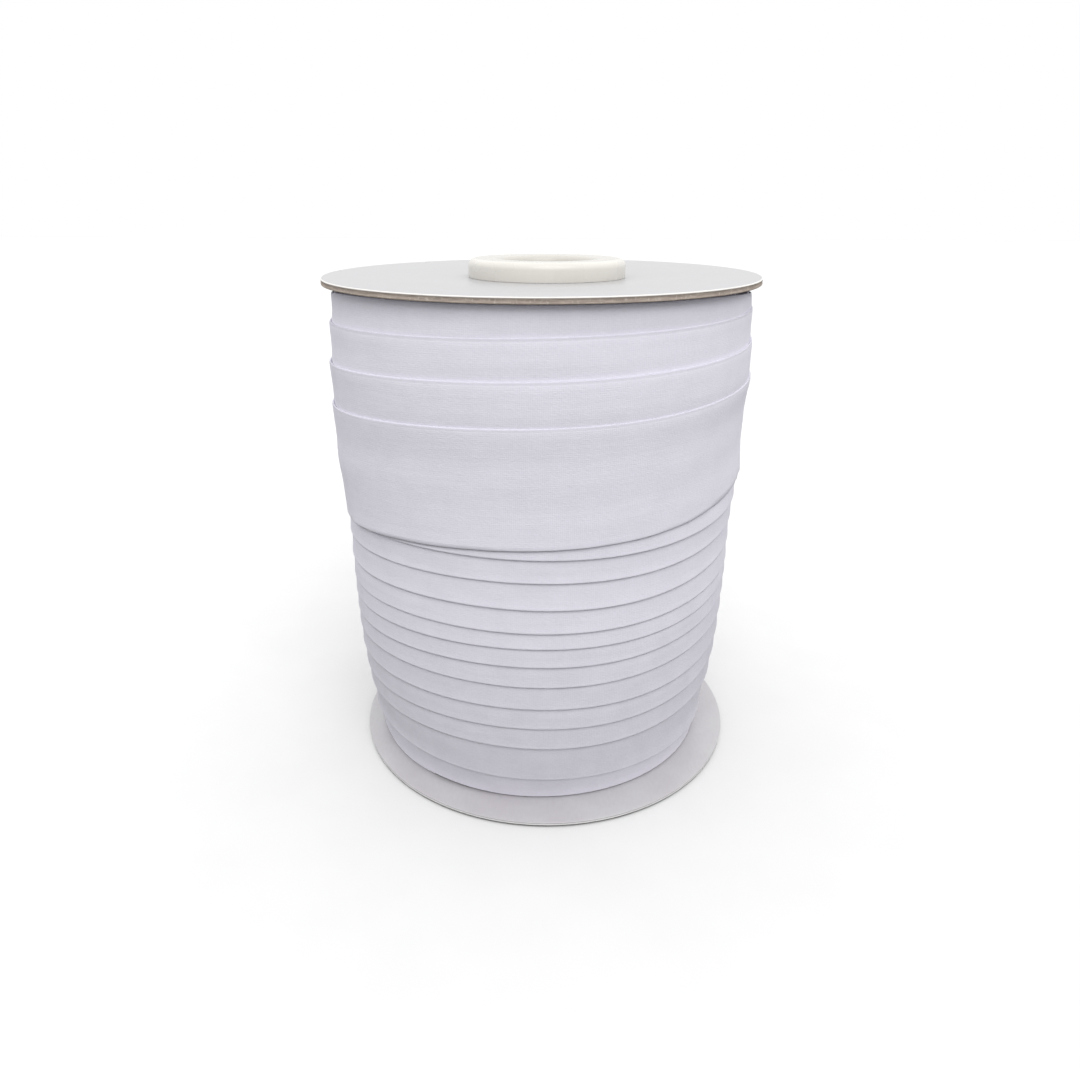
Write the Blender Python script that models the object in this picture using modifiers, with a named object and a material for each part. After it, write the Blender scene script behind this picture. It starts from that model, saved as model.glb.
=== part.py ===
"""A reel of wide folded piping tape: two greyboard discs, a plastic core whose collar shows on top, and the
tape wound between them. Metres, +Z up. The origin is on the floor, midway between the centres of the two
boards, and the front is towards -Y."""

import math
from collections import namedtuple

import bmesh
import bpy

MM = 0.001

# Driving dimensions
BOARD_RADIUS = 59.0 * MM
BOARD_THICKNESS = 1.6 * MM
HEIGHT_OVER_BOARDS = 140.9 * MM
BOARD_SEGMENTS = 72
BOTTOM_BOARD_X = 1.04 * MM
TOP_BOARD_X = -1.04 * MM
WINDING_X = -1.04 * MM
CORE_X = 0.8 * MM
BORE_RADIUS = 12.5 * MM
TUBE_RADIUS = 16.0 * MM
CORE_SEGMENTS = 48
HOLE_CUTTER_LENGTH = 10.0 * MM
GAP = 0.3 * MM
MERGE_DISTANCE = 0.01 * MM
SHARP_DEGREES = 35

# The top board sits a little askew, and the collar has pressed its middle down
TILT_UP_BEHIND = 0.0061
TILT_UP_RIGHT = 0.0037
DISH_DEPTH = 0.9 * MM
DISH_FLOOR_RADIUS = 22.0 * MM
DISH_RADIUS = 42.0 * MM
DISH_RINGS = 3
TILT_ROOM = 0.15 * MM

# Collar at the head of the core
COLLAR_RADIUS = 21.6 * MM
COLLAR_HEIGHT = 4.0 * MM
COLLAR_TOP_ROUND = 1.5 * MM
COLLAR_FOOT_ROUND = 0.7 * MM
COLLAR_MOUTH_ROUND = 0.9 * MM
ROUND_STEPS = 4

# Tape
TAPE_WIDTH = 30.0 * MM
TAPE_THICKNESS = 0.65 * MM
EDGE_ROUND = 0.3 * MM
LAP_FADE = 6.0 * MM
HIDDEN_EDGE_SPREAD = 7.0 * MM
FIRST_CLIMBING, LAST_CLIMBING = -1, 12
FIRST_FALLING, FIRST_SHOWN, LAST_TURN = -2, -1, 2

# The winding's columns run from the tape's cut end at the back left right round to it again
END_AZIMUTH = -150.0
END_FACE_DEGREES = 0.6
COLUMNS = 60
SHOULDER_RADIUS = 44.0 * MM
RIM_DROP = 0.7 * MM
LEAST_ROW_GAP = 0.4 * MM
FOOT_SPREAD = 2.6 * MM
FOOT_SPREAD_HEIGHT = 14.0 * MM

TOP_BOARD_FOOT = HEIGHT_OVER_BOARDS - BOARD_THICKNESS
FLOOR_OF_WINDING = BOARD_THICKNESS + GAP
RIM_OF_WINDING = TOP_BOARD_FOOT - RIM_DROP
HEAD_AT_BORE = TOP_BOARD_FOOT - DISH_DEPTH - GAP - 2 * TILT_ROOM

# The climbing turns' face without its steps, against the height above the floor
FaceRow = namedtuple("FaceRow", "height_mm radius_mm")
CLIMBING_FACE = [
    FaceRow(1.9, 48.8),
    FaceRow(4.9, 50.2),
    FaceRow(8.9, 51.8),
    FaceRow(12.9, 53.0),
    FaceRow(19.0, 54.1),
    FaceRow(27.9, 55.2),
    FaceRow(36.0, 55.9),
    FaceRow(46.0, 56.3),
    FaceRow(60.0, 56.6),
    FaceRow(74.0, 56.7),
    FaceRow(82.0, 57.2),
    FaceRow(91.0, 57.6),
    FaceRow(108.0, 56.8),
    FaceRow(120.0, 56.6),
    FaceRow(139.0, 56.3),
]

# Where each turn's edge crosses the front, counted in turns along the tape
EdgeRow = namedtuple("EdgeRow", "turn height_mm")

# Lower edges of the climbing turns, each of which laps over the turn below it. They are counted downwards.
CLIMBING_EDGES = [
    EdgeRow(-2, 97.5),
    EdgeRow(-1, 91.5),
    EdgeRow(0, 85.4),
    EdgeRow(1, 79.3),
    EdgeRow(2, 72.9),
    EdgeRow(3, 65.7),
    EdgeRow(4, 59.1),
    EdgeRow(5, 54.3),
    EdgeRow(6, 49.0),
    EdgeRow(7, 43.1),
    EdgeRow(8, 36.0),
    EdgeRow(9, 29.4),
    EdgeRow(10, 22.7),
    EdgeRow(11, 10.7),
    EdgeRow(12, 1.6),
    EdgeRow(13, -8.0),
]

# Upper edges of the last turns, which come back down over the others
FALLING_EDGES = [
    EdgeRow(-2, 141.0),
    EdgeRow(-1, 139.3),
    EdgeRow(0, 131.8),
    EdgeRow(1, 122.5),
    EdgeRow(2, 112.1),
    EdgeRow(3, 101.9),
]
FALL_STARTS, FALL_IS_FULL = -1.7, -1.0

# How far the turns are skewed, up on the right and down on the left
SwayRow = namedtuple("SwayRow", "height_mm sway_mm")
SWAY = [
    SwayRow(8.0, 0.0),
    SwayRow(22.7, 4.0),
    SwayRow(84.0, 4.0),
    SwayRow(112.0, 2.0),
    SwayRow(132.0, 0.0),
]

# Colour, roughness and metallic value of each material
Finish = namedtuple("Finish", "name colour roughness metallic")
LINED_GREYBOARD = Finish("lined_greyboard", (0.76, 0.76, 0.77), 0.55, 0.0)
CORE_PLASTIC = Finish("core_plastic", (0.79, 0.77, 0.73), 0.28, 0.0)
TAPE_CLOTH = Finish("tape_cloth", (0.66, 0.65, 0.72), 0.9, 0.0)


def smooth_through(rows, place):
    """The value at a place on a smooth curve through rows of (place, value), level past the end rows."""
    if place <= rows[0][0]:
        return rows[0][1]
    for i in range(len(rows) - 1):
        (x0, y0), (x1, y1) = rows[i], rows[i + 1]
        if place > x1:
            continue
        before, after = rows[max(i - 1, 0)], rows[min(i + 2, len(rows) - 1)]
        rise0 = (y1 - before[1]) / (x1 - before[0]) * (x1 - x0)
        rise1 = (after[1] - y0) / (after[0] - x0) * (x1 - x0)
        t = (place - x0) / (x1 - x0)
        start = y0 * (1 + 2 * t) * (1 - t) ** 2 + rise0 * t * (1 - t) ** 2
        return start + y1 * (3 - 2 * t) * t**2 + rise1 * (t - 1) * t**2
    return rows[-1][1]


def ramp(distance, length):
    """Rises from 0 at no distance to 1 at this length, and stays there."""
    return min(max(distance / length, 0.0), 1.0)


def swayed(height, azimuth):
    """A turn edge's height with its skew at this azimuth."""
    sway = MM * smooth_through(SWAY, height / MM)
    return height + sway * math.sin(math.radians(azimuth)) ** 3


def climbing_edge(turn, azimuth):
    """Height of the lower edge of a climbing turn. The tape climbs towards the left across the front."""
    return swayed(MM * smooth_through(CLIMBING_EDGES, turn + azimuth / 360), azimuth)


def falling_edges(turn, azimuth):
    """Heights of the upper and lower edges of a falling turn. This tape falls towards the left."""
    upper = MM * smooth_through(FALLING_EDGES, turn - azimuth / 360)
    return swayed(upper, azimuth), swayed(upper - TAPE_WIDTH, azimuth)


def climbing_step(azimuth, height):
    """How far the climbing turns stand out of their face: a tape's thickness at a lip, dying away above it."""
    step = 0.0
    for turn in range(FIRST_CLIMBING, LAST_CLIMBING + 1):
        inside = height - climbing_edge(turn, azimuth)
        if inside > 0:
            fade = math.exp(-max(inside - EDGE_ROUND, 0.0) / LAP_FADE)
            step = max(step, ramp(inside, EDGE_ROUND) * fade)
    return TAPE_THICKNESS * step


def falling_laps(azimuth, height):
    """Thickness of the falling turns at a place, where only the last turn's lower edge is a sharp one."""
    laps = 0.0
    for turn in range(FIRST_FALLING, LAST_TURN + 1):
        upper, lower = falling_edges(turn, azimuth)
        spread = EDGE_ROUND if turn == LAST_TURN else HIDDEN_EDGE_SPREAD
        laid = ramp(turn - azimuth / 360 - FALL_STARTS, FALL_IS_FULL - FALL_STARTS)
        laps += laid * ramp(upper - height, EDGE_ROUND) * ramp(height - lower, spread)
    return TAPE_THICKNESS * laps


def wound_radius(azimuth, height):
    """Radius of the wound face about the winding's axis."""
    face = MM * smooth_through(CLIMBING_FACE, height / MM)
    face += FOOT_SPREAD * math.sin(math.radians(azimuth)) ** 2 * (1 - ramp(height, FOOT_SPREAD_HEIGHT))
    band_foot = falling_edges(LAST_TURN, azimuth)[1]
    if height < band_foot:
        return face + climbing_step(azimuth, height)
    covered = climbing_step(azimuth, band_foot) * math.exp((band_foot - height) / LAP_FADE)
    return face + covered + falling_laps(azimuth, height)


# Labels of the points up a column. Each turn takes a span of them, and the turns' numbers fall upwards.
TURN_SPAN = 10
FOOT_LABEL, BAND_LABEL, UPPER_LABEL, RIM_LABEL = -200, 100, 200, 300


def column_heights(azimuth):
    """(label, height) of the points up the wound face. A label keeps to one edge all the way round."""
    band_top, band_foot = falling_edges(LAST_TURN, azimuth)
    rows = []
    for turn in range(LAST_CLIMBING, FIRST_CLIMBING - 1, -1):
        foot = climbing_edge(turn, azimuth)
        middle = 0.5 * (foot + climbing_edge(turn - 1, azimuth))
        for step, height in enumerate((foot, foot + EDGE_ROUND, middle)):
            if FLOOR_OF_WINDING + LEAST_ROW_GAP < height < band_foot - LEAST_ROW_GAP:
                rows.append((step - TURN_SPAN * turn, height))
    middle = 0.5 * (band_foot + band_top)
    lower = (band_foot, band_foot + EDGE_ROUND, 0.5 * (band_foot + middle))
    upper = (middle, band_top - EDGE_ROUND, band_top)
    rows += [(BAND_LABEL + step, height) for step, height in enumerate(lower + upper)]
    for turn in range(LAST_TURN - 1, FIRST_SHOWN - 1, -1):
        edge = falling_edges(turn, azimuth)[0]
        middle = 0.5 * (edge + falling_edges(turn + 1, azimuth)[0])
        for step, height in enumerate((middle, edge - EDGE_ROUND, edge)):
            if height < RIM_OF_WINDING - LEAST_ROW_GAP:
                rows.append((UPPER_LABEL + step - TURN_SPAN * turn, height))
    return rows


def winding_column(shape, azimuth):
    """Adds one column of the winding's points, from the bore's foot up the wound face to the bore's head."""
    angle = math.radians(azimuth)

    def added(axis_x, radius, height):
        return shape.verts.new((axis_x + radius * math.sin(angle), -radius * math.cos(angle), height))

    bore = TUBE_RADIUS + GAP
    face = [(FOOT_LABEL, FLOOR_OF_WINDING), *column_heights(azimuth), (RIM_LABEL, RIM_OF_WINDING)]
    column = [(FOOT_LABEL - 1, added(CORE_X, bore, FLOOR_OF_WINDING))]
    column += [(label, added(WINDING_X, wound_radius(azimuth, height), height)) for label, height in face]
    column.append((RIM_LABEL + 1, added(WINDING_X, SHOULDER_RADIUS, RIM_OF_WINDING)))
    column.append((RIM_LABEL + 2, added(WINDING_X, DISH_FLOOR_RADIUS, HEAD_AT_BORE)))
    column.append((RIM_LABEL + 3, added(CORE_X, bore, HEAD_AT_BORE)))
    return column


def join_columns(shape, left, right):
    """Fills the strip between two columns, with a quad where both have the next label and else a triangle."""
    i, j = 0, 0
    while i < len(left) - 1 or j < len(right) - 1:
        next_left = left[i + 1][0] if i < len(left) - 1 else math.inf
        next_right = right[j + 1][0] if j < len(right) - 1 else math.inf
        corners = [left[i][1], right[j][1]]
        if next_right <= next_left:
            j += 1
            corners.append(right[j][1])
        if next_left <= next_right:
            i += 1
            corners.append(left[i][1])
        shape.faces.new(corners)
    shape.faces.new((left[-1][1], right[-1][1], right[0][1], left[0][1]))


def over_the_seam(column):
    """The first column's labels as the last column counts them: climbing and falling turns part here."""
    climbing = range(FOOT_LABEL + 1, BAND_LABEL - TURN_SPAN)
    falling = range(UPPER_LABEL - LAST_TURN * TURN_SPAN, RIM_LABEL)
    shifted = []
    for label, vertex in column:
        if label in climbing:
            label += TURN_SPAN
        elif label in falling:
            label -= TURN_SPAN
        shifted.append((label, vertex))
    return shifted


def fresh_scene():
    """Empties the scene, and returns the collections of the parts and of their cutters."""
    for old in list(bpy.data.objects):
        bpy.data.objects.remove(old, do_unlink=True)
    collections = []
    for name in ("Piping_roll", "Cutters"):
        collections.append(bpy.data.collections.new(name))
        bpy.context.scene.collection.children.link(collections[-1])
    return collections


def material_of(finish):
    material = bpy.data.materials.new(finish.name)
    material.use_nodes = True
    surface = material.node_tree.nodes["Principled BSDF"]
    surface.inputs["Base Color"].default_value = (*finish.colour, 1.0)
    surface.inputs["Roughness"].default_value = finish.roughness
    surface.inputs["Metallic"].default_value = finish.metallic
    return material


def object_from(shape, name, collection):
    mesh = bpy.data.meshes.new(name)
    shape.to_mesh(mesh)
    shape.free()
    made = bpy.data.objects.new(name, mesh)
    collection.objects.link(made)
    return made


def turned(name, profile, segments, collection, material):
    """A profile of (radius, height) points turned about the object's own Z, closed where it meets the axis."""
    shape = bmesh.new()
    corners = [shape.verts.new((radius, 0.0, height)) for radius, height in profile]
    on_axis = profile[0][0] == 0.0 and profile[-1][0] == 0.0
    ends = [] if on_axis else corners[:1]
    for here, after in zip(corners, corners[1:] + ends):
        shape.edges.new((here, after))
    made = object_from(shape, name, collection)
    made.data.materials.append(material)
    turn = made.modifiers.new("turn", "SCREW")
    turn.steps = turn.render_steps = segments
    turn.use_merge_vertices = True
    turn.merge_threshold = MERGE_DISTANCE
    turn.use_smooth_shade = False
    return made


def board_profile(dish_depth):
    """The upper face of a board from its middle to its rim, then its lower face back again."""
    dish = [(0.0, -dish_depth)]
    if dish_depth:
        for ring in range(DISH_RINGS + 1):
            t = ring / DISH_RINGS
            radius = DISH_FLOOR_RADIUS + (DISH_RADIUS - DISH_FLOOR_RADIUS) * t
            dish.append((radius, -dish_depth * (1 - t * t * (3 - 2 * t))))
    face = [*dish, (BOARD_RADIUS, 0.0)]
    upper = [(radius, drop + BOARD_THICKNESS / 2) for radius, drop in face]
    lower = [(radius, drop - BOARD_THICKNESS / 2) for radius, drop in reversed(face)]
    return upper + lower


def board(name, centre_x, foot, dish_depth, hole_radius, material, parts, cutters):
    """A round board standing on the height of its foot, with a hole on the core's axis."""
    middle = foot + BOARD_THICKNESS / 2
    made = turned(name, board_profile(dish_depth), BOARD_SEGMENTS, parts, material)
    made.location = (centre_x, 0.0, middle)
    shape = bmesh.new()
    bmesh.ops.create_cone(
        shape,
        cap_ends=True,
        segments=CORE_SEGMENTS,
        radius1=hole_radius,
        radius2=hole_radius,
        depth=HOLE_CUTTER_LENGTH,
    )
    cutter = object_from(shape, name + "_hole", cutters)
    cutter.location = (CORE_X, 0.0, middle)
    cutter.hide_render = True
    cutter.display_type = "WIRE"
    hole = made.modifiers.new("hole", "BOOLEAN")
    hole.operation = "DIFFERENCE"
    hole.object = cutter
    return made


def rounded_corner(centre_x, centre_z, radius, start_degrees):
    """Points of a quarter circle in the core's profile, turned clockwise from its first angle."""
    points = []
    for step in range(ROUND_STEPS + 1):
        angle = math.radians(start_degrees - 90.0 * step / ROUND_STEPS)
        points.append((centre_x + radius * math.cos(angle), centre_z + radius * math.sin(angle)))
    return points


def core_profile():
    """The core's outline, across the collar's top, down its outer side and the tube's, and up the bore."""
    seat = HEIGHT_OVER_BOARDS - DISH_DEPTH + GAP + TILT_ROOM
    head = HEIGHT_OVER_BOARDS + COLLAR_HEIGHT
    mouth, top, foot = COLLAR_MOUTH_ROUND, COLLAR_TOP_ROUND, COLLAR_FOOT_ROUND
    profile = rounded_corner(BORE_RADIUS + mouth, head - mouth, mouth, 180)
    profile += rounded_corner(COLLAR_RADIUS - top, head - top, top, 90)
    profile += rounded_corner(COLLAR_RADIUS - foot, seat + foot, foot, 0)
    profile += [(TUBE_RADIUS, seat), (TUBE_RADIUS, FLOOR_OF_WINDING), (BORE_RADIUS, FLOOR_OF_WINDING)]
    return profile


def wound_tape(material, parts):
    """The wound form of the tape, with the stepped edge of each turn that shows."""
    shape = bmesh.new()
    span = 360.0 - END_FACE_DEGREES
    azimuths = [END_AZIMUTH + span * i / COLUMNS for i in range(COLUMNS + 1)]
    columns = [winding_column(shape, azimuth) for azimuth in azimuths]
    for left, right in zip(columns, columns[1:]):
        join_columns(shape, left, right)
    join_columns(shape, columns[-1], over_the_seam(columns[0]))
    winding = object_from(shape, "tape_winding", parts)
    winding.data.materials.append(material)
    winding.data.shade_smooth()
    winding.data.set_sharp_from_angle(angle=math.radians(SHARP_DEGREES))


def build():
    parts, cutters = fresh_scene()
    lined = material_of(LINED_GREYBOARD)
    board("bottom_board", BOTTOM_BOARD_X, 0.0, 0.0, BORE_RADIUS, lined, parts, cutters)
    hole_radius = TUBE_RADIUS + GAP
    top = board("top_board", TOP_BOARD_X, TOP_BOARD_FOOT, DISH_DEPTH, hole_radius, lined, parts, cutters)
    top.rotation_euler = (TILT_UP_BEHIND, -TILT_UP_RIGHT, 0.0)
    core = turned("core", core_profile(), CORE_SEGMENTS, parts, material_of(CORE_PLASTIC))
    core.location = (CORE_X, 0.0, 0.0)
    wound_tape(material_of(TAPE_CLOTH), parts)


build()
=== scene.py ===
"""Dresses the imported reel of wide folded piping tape.

The script makes the wound tape itself, its two boards, its core and the studio. Everything is in
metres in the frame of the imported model: +Z up, the front towards -Y, and the origin on the floor
midway between the centres of the two boards.
"""

import logging
import math
from dataclasses import dataclass, field
from enum import Enum
from typing import Callable, Sequence, Union

import bmesh
import bpy
import numpy as np
from mathutils import Matrix, Vector


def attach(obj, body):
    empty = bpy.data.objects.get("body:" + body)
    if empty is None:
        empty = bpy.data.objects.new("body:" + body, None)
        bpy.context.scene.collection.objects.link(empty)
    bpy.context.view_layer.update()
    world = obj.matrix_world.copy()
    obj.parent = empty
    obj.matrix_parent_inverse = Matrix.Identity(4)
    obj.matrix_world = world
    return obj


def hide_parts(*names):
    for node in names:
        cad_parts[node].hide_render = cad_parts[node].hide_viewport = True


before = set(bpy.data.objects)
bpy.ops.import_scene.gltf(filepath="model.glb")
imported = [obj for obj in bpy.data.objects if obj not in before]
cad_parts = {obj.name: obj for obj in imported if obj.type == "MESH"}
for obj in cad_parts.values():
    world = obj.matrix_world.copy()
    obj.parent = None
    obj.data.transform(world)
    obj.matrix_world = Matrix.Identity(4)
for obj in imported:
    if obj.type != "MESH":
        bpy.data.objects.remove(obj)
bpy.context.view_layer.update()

LOG = logging.getLogger("piping_reel")
MM = 0.001
TURN = 2.0 * math.pi
SHARP_CORNER = math.radians(40)
WELD = 1e-6
BLOB_ROUGHNESS = 0.55

Pair = tuple[float, float]
Rows = Sequence[Pair]
Colour = tuple[float, float, float]
Triple = tuple[float, float, float]
Wearer = Union[bpy.types.Material, bpy.types.World]


class Slot(Enum):
    """Material slots of the record."""

    LINED_GREYBOARD = "lined_greyboard"
    CORE_PLASTIC = "core_plastic"
    TAPE_CLOTH = "tape_cloth"


class BoardFace(Enum):
    """Surfaces of a board that wear a finish of their own, with their face numbers."""

    LINER = 0
    LIP = 1
    CUT = 2
    FOOT = 3


def smooth_through(rows: Rows, place: np.ndarray) -> np.ndarray:
    """A smooth curve through rows of (place, value), level past the end rows.

    Args:
        rows: The places, rising, each with its value.
        place: Where the curve is read.

    Returns:
        The value at each place.
    """
    xs, ys = np.array([row[0] for row in rows]), np.array([row[1] for row in rows])
    at = np.clip(np.asarray(place, float), xs[0], xs[-1])
    i = np.clip(np.searchsorted(xs, at, side="left") - 1, 0, len(xs) - 2)
    before, after = np.maximum(i - 1, 0), np.minimum(i + 2, len(xs) - 1)
    span = xs[i + 1] - xs[i]
    rise0 = (ys[i + 1] - ys[before]) / (xs[i + 1] - xs[before]) * span
    rise1 = (ys[after] - ys[i]) / (xs[after] - xs[i]) * span
    t = (at - xs[i]) / span
    start = ys[i] * (1 + 2 * t) * (1 - t) ** 2 + rise0 * t * (1 - t) ** 2
    return start + ys[i + 1] * (3 - 2 * t) * t**2 + rise1 * (t - 1) * t**2


def ramp(distance: np.ndarray, length: float) -> np.ndarray:
    """Rises from 0 at no distance to 1 at this length, and stays there."""
    return np.clip(np.asarray(distance) / length, 0.0, 1.0)


def distances(points: Sequence[Vector]) -> np.ndarray:
    """How far each point lies along the line through all of them."""
    steps = [(after - here).length for here, after in zip(points, points[1:])]
    return np.concatenate([[0.0], np.cumsum(steps)])


class Value:
    """A node's output socket in a shader expression, so that shader maths reads as maths."""

    def __init__(self, graph: "Graph", socket: bpy.types.NodeSocket) -> None:
        """Wraps a socket of a graph."""
        self.graph, self.socket = graph, socket

    def _math(self, operation: str, *values: "Term") -> "Value":
        """Adds one Math node on these values."""
        return self.graph.node("ShaderNodeMath", {"operation": operation}, dict(enumerate(values)))

    def __add__(self, other: "Term") -> "Value":
        """The sum with another value."""
        return self._math("ADD", self, other)

    def __sub__(self, other: "Term") -> "Value":
        """This value less another."""
        return self._math("SUBTRACT", self, other)

    def __rsub__(self, other: "Term") -> "Value":
        """Another value less this one."""
        return self._math("SUBTRACT", other, self)

    def __mul__(self, other: "Term") -> "Value":
        """The product with another value."""
        return self._math("MULTIPLY", self, other)

    def __pow__(self, other: "Term") -> "Value":
        """This value to a power."""
        return self._math("POWER", self, other)

    def __rpow__(self, other: "Term") -> "Value":
        """Another value to the power of this one."""
        return self._math("POWER", other, self)

    __radd__, __rmul__ = __add__, __mul__

    def sine(self) -> "Value":
        """The sine of this value."""
        return self._math("SINE", self)

    def between(self, low: float, high: float) -> "Value":
        """How far this value is from low to high, eased and kept from 0 to 1."""
        inputs = {"Value": self, "From Min": low, "From Max": high}
        return self.graph.node("ShaderNodeMapRange", {"interpolation_type": "SMOOTHSTEP"}, inputs)


Term = Union[Value, float]
Paint = Union[Value, Colour]


def radius_of(x: Value, y: Value) -> Value:
    """Distance from an upright axis."""
    return (x * x + y * y) ** 0.5


class Graph:
    """The shader nodes of one material, or of the white surround."""

    def __init__(self, owner: Wearer, shader: str = "Principled BSDF") -> None:
        """Starts on a new material's or world's own shader.

        Args:
            owner: The material or world.
            shader: Its shader node's name.
        """
        owner.use_nodes = True
        self.owner, self.tree = owner, owner.node_tree
        self.surface = self.tree.nodes[shader]

    @classmethod
    def of(cls, name: str) -> "Graph":
        """The nodes of a new material of this name."""
        return cls(bpy.data.materials.new(name))

    def node(self, kind: str, settings: dict, inputs: dict, output: Union[int, str] = 0) -> Value:
        """Adds one node.

        Args:
            kind: The node's type.
            settings: Its own settings, which are set first.
            inputs: Values or links of its sockets, by name or number.
            output: Which output to go on with.

        Returns:
            The output as a value.
        """
        made = self.tree.nodes.new(kind)
        for name, setting in settings.items():
            setattr(made, name, setting)
        for name, value in inputs.items():
            self.feed(made.inputs[name], value)
        return Value(self, made.outputs[output])

    def feed(self, socket: bpy.types.NodeSocket, value: object) -> None:
        """Links a value to a socket, or sets the socket to it.

        Args:
            socket: The input socket.
            value: A value of this graph, or a plain number, vector or colour.
        """
        if isinstance(value, Value):
            self.tree.links.new(value.socket, socket)
        else:
            socket.default_value = value

    def place(self) -> Value:
        """The point on the piece, in metres."""
        return self.node("ShaderNodeTexCoord", {}, {}, "Object")

    def uv(self, layer: str) -> Value:
        """The piece's own map of the surface."""
        return self.node("ShaderNodeUVMap", {"uv_map": layer}, {})

    def parts(self, vector: Value) -> tuple[Value, Value, Value]:
        """Takes a vector apart.

        Args:
            vector: The vector.

        Returns:
            Its three numbers.
        """
        first = self.node("ShaderNodeSeparateXYZ", {}, {"Vector": vector}, "X")
        outputs = first.socket.node.outputs
        return first, Value(self, outputs["Y"]), Value(self, outputs["Z"])

    def moved(self, vector: Value, scale: Triple, turn: float = 0.0) -> Value:
        """A vector scaled and then turned about Z."""
        inputs = {"Vector": vector, "Rotation": (0.0, 0.0, turn), "Scale": scale}
        return self.node("ShaderNodeMapping", {"vector_type": "POINT"}, inputs)

    def noise(self, vector: Value, size: float, detail: float = 2.0) -> Value:
        """Soft random variation from 0 to 1, in blobs of this size."""
        inputs = {"Scale": 1 / size, "Detail": detail, "Roughness": BLOB_ROUGHNESS}
        return self.node("ShaderNodeTexNoise", {}, {"Vector": vector, **inputs})

    def mix(self, share: Term, first: Paint, second: Paint) -> Value:
        """Mixes two colours.

        Args:
            share: How much of the second colour there is, from 0 to 1.
            first: The colour at 0.
            second: The colour at 1.

        Returns:
            The colour between them.
        """
        settings = {"data_type": "RGBA", "blend_type": "MIX"}
        colours = [c if isinstance(c, Value) else (*c, 1.0) for c in (first, second)]
        return self.node("ShaderNodeMix", settings, {0: share, 6: colours[0], 7: colours[1]}, 2)

    def bump(self, height: Value, distance: float, under: Union[Value, None] = None) -> Value:
        """Bumps the surface.

        Args:
            height: The relief, from 0 to 1.
            distance: How many metres a height of 1 stands for.
            under: Another bumped normal that this one lies on.

        Returns:
            The bumped normal.
        """
        inputs = {"Height": height, "Distance": distance, "Strength": 1.0}
        if under is not None:
            inputs["Normal"] = under
        return self.node("ShaderNodeBump", {}, inputs)

    def finish(self, **sockets: object) -> Wearer:
        """Sets the shader's own sockets.

        Args:
            sockets: What each socket gets, its name with underscores for spaces.

        Returns:
            The material or world that wears the shader.
        """
        for name, value in sockets.items():
            self.feed(self.surface.inputs[name.replace("_", " ")], value)
        return self.owner


@dataclass(frozen=True)
class TapeCloth:
    """Pressed cotton tape: a fine plain weave on the bias, a faint nap, creases and uneven dye.

    Painted shade darkens the upper fold on the newest turns and the older turns' whole colour.
    """

    colour: Colour = (0.846, 0.831, 0.914)
    shade: Colour = (0.784, 0.770, 0.850)
    # Painted shade for the upper fold, within this band across the tape and this run along it.
    painted_fold_shade: Colour = (0.605, 0.595, 0.657)
    painted_fold_shade_band: Pair = (29.0 * MM, 29.7 * MM)
    painted_fold_shade_run: Pair = (1.00, 1.08)
    # Painted shade: the older, lower turns take these darker colours from this run along the strip.
    painted_turn_shade: Colour = (0.736, 0.722, 0.794)
    painted_turn_shade_mottle: Colour = (0.660, 0.647, 0.713)
    painted_turn_shade_run: Pair = (2.5, 6.0)
    thread: float = 0.34 * MM
    thread_height: float = 0.012 * MM
    spread_size: float = 6.0 * MM
    spread_share: float = 0.34
    fine_size: float = 0.9 * MM
    fine_scale: Triple = (1.0, 2.4, 1.0)
    fine_share: float = 0.50
    crease_size: float = 1.5 * MM
    crease_scale: Triple = (0.14, 1.0, 1.0)
    crease_share: float = 0.12
    crease_height: float = 0.045 * MM
    weave_share: float = 0.04
    mottling: Pair = (0.3, 0.7)
    slub_fine: float = 0.6
    slub_spread: float = 0.4
    slub_height: float = 0.075 * MM
    roughness: float = 0.92
    gloss: float = 0.22
    nap: float = 0.06
    nap_roughness: float = 0.5

    def material(self, name: str, layer: str) -> bpy.types.Material:
        """Builds the cloth.

        Args:
            name: The material's name.
            layer: The piece's UV map, in metres along and across the tape.

        Returns:
            The material.
        """
        g = Graph.of(name)
        along, across, _ = g.parts(g.uv(layer))
        pitch = TURN / (2 * self.thread)
        bias = math.sqrt(0.5)
        warp = ((along + across) * (bias * pitch)).sine()
        weft = ((along - across) * (bias * pitch)).sine()
        weave = warp * weft * 0.5 + 0.5
        spread = g.noise(g.place(), self.spread_size, detail=3.0)
        on_the_bias = g.moved(g.uv(layer), self.fine_scale, turn=math.pi / 4)
        fine = g.noise(on_the_bias, self.fine_size, detail=4.0)
        lengthwise = g.moved(g.uv(layer), self.crease_scale)
        creases = g.noise(lengthwise, self.crease_size, detail=3.0)
        clouds = spread * self.spread_share + fine * self.fine_share
        patches = clouds + creases * self.crease_share + weave * self.weave_share
        mottle = patches.between(*self.mottling)
        fresh = g.mix(mottle, self.shade, self.colour)
        # Painted shade: the older, lower turns, further along the strip, are coloured darker.
        painted_turn_shade = g.mix(mottle, self.painted_turn_shade_mottle, self.painted_turn_shade)
        open_cloth = g.mix(along.between(*self.painted_turn_shade_run), fresh, painted_turn_shade)
        # Painted shade: the upper fold is darkened on the strip's first metre from its cut end.
        fold = across.between(*self.painted_fold_shade_band) * (1.0 - along.between(*self.painted_fold_shade_run))
        colour = g.mix(fold, open_cloth, self.painted_fold_shade)
        threads = g.bump(weave, self.thread_height)
        creased = g.bump(creases, self.crease_height, threads)
        slubs = fine * self.slub_fine + spread * self.slub_spread
        return g.finish(
            Base_Color=colour,
            Roughness=self.roughness,
            Specular_IOR_Level=self.gloss,
            Sheen_Weight=self.nap,
            Sheen_Roughness=self.nap_roughness,
            Normal=g.bump(slubs, self.slub_height, creased),
        )


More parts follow.
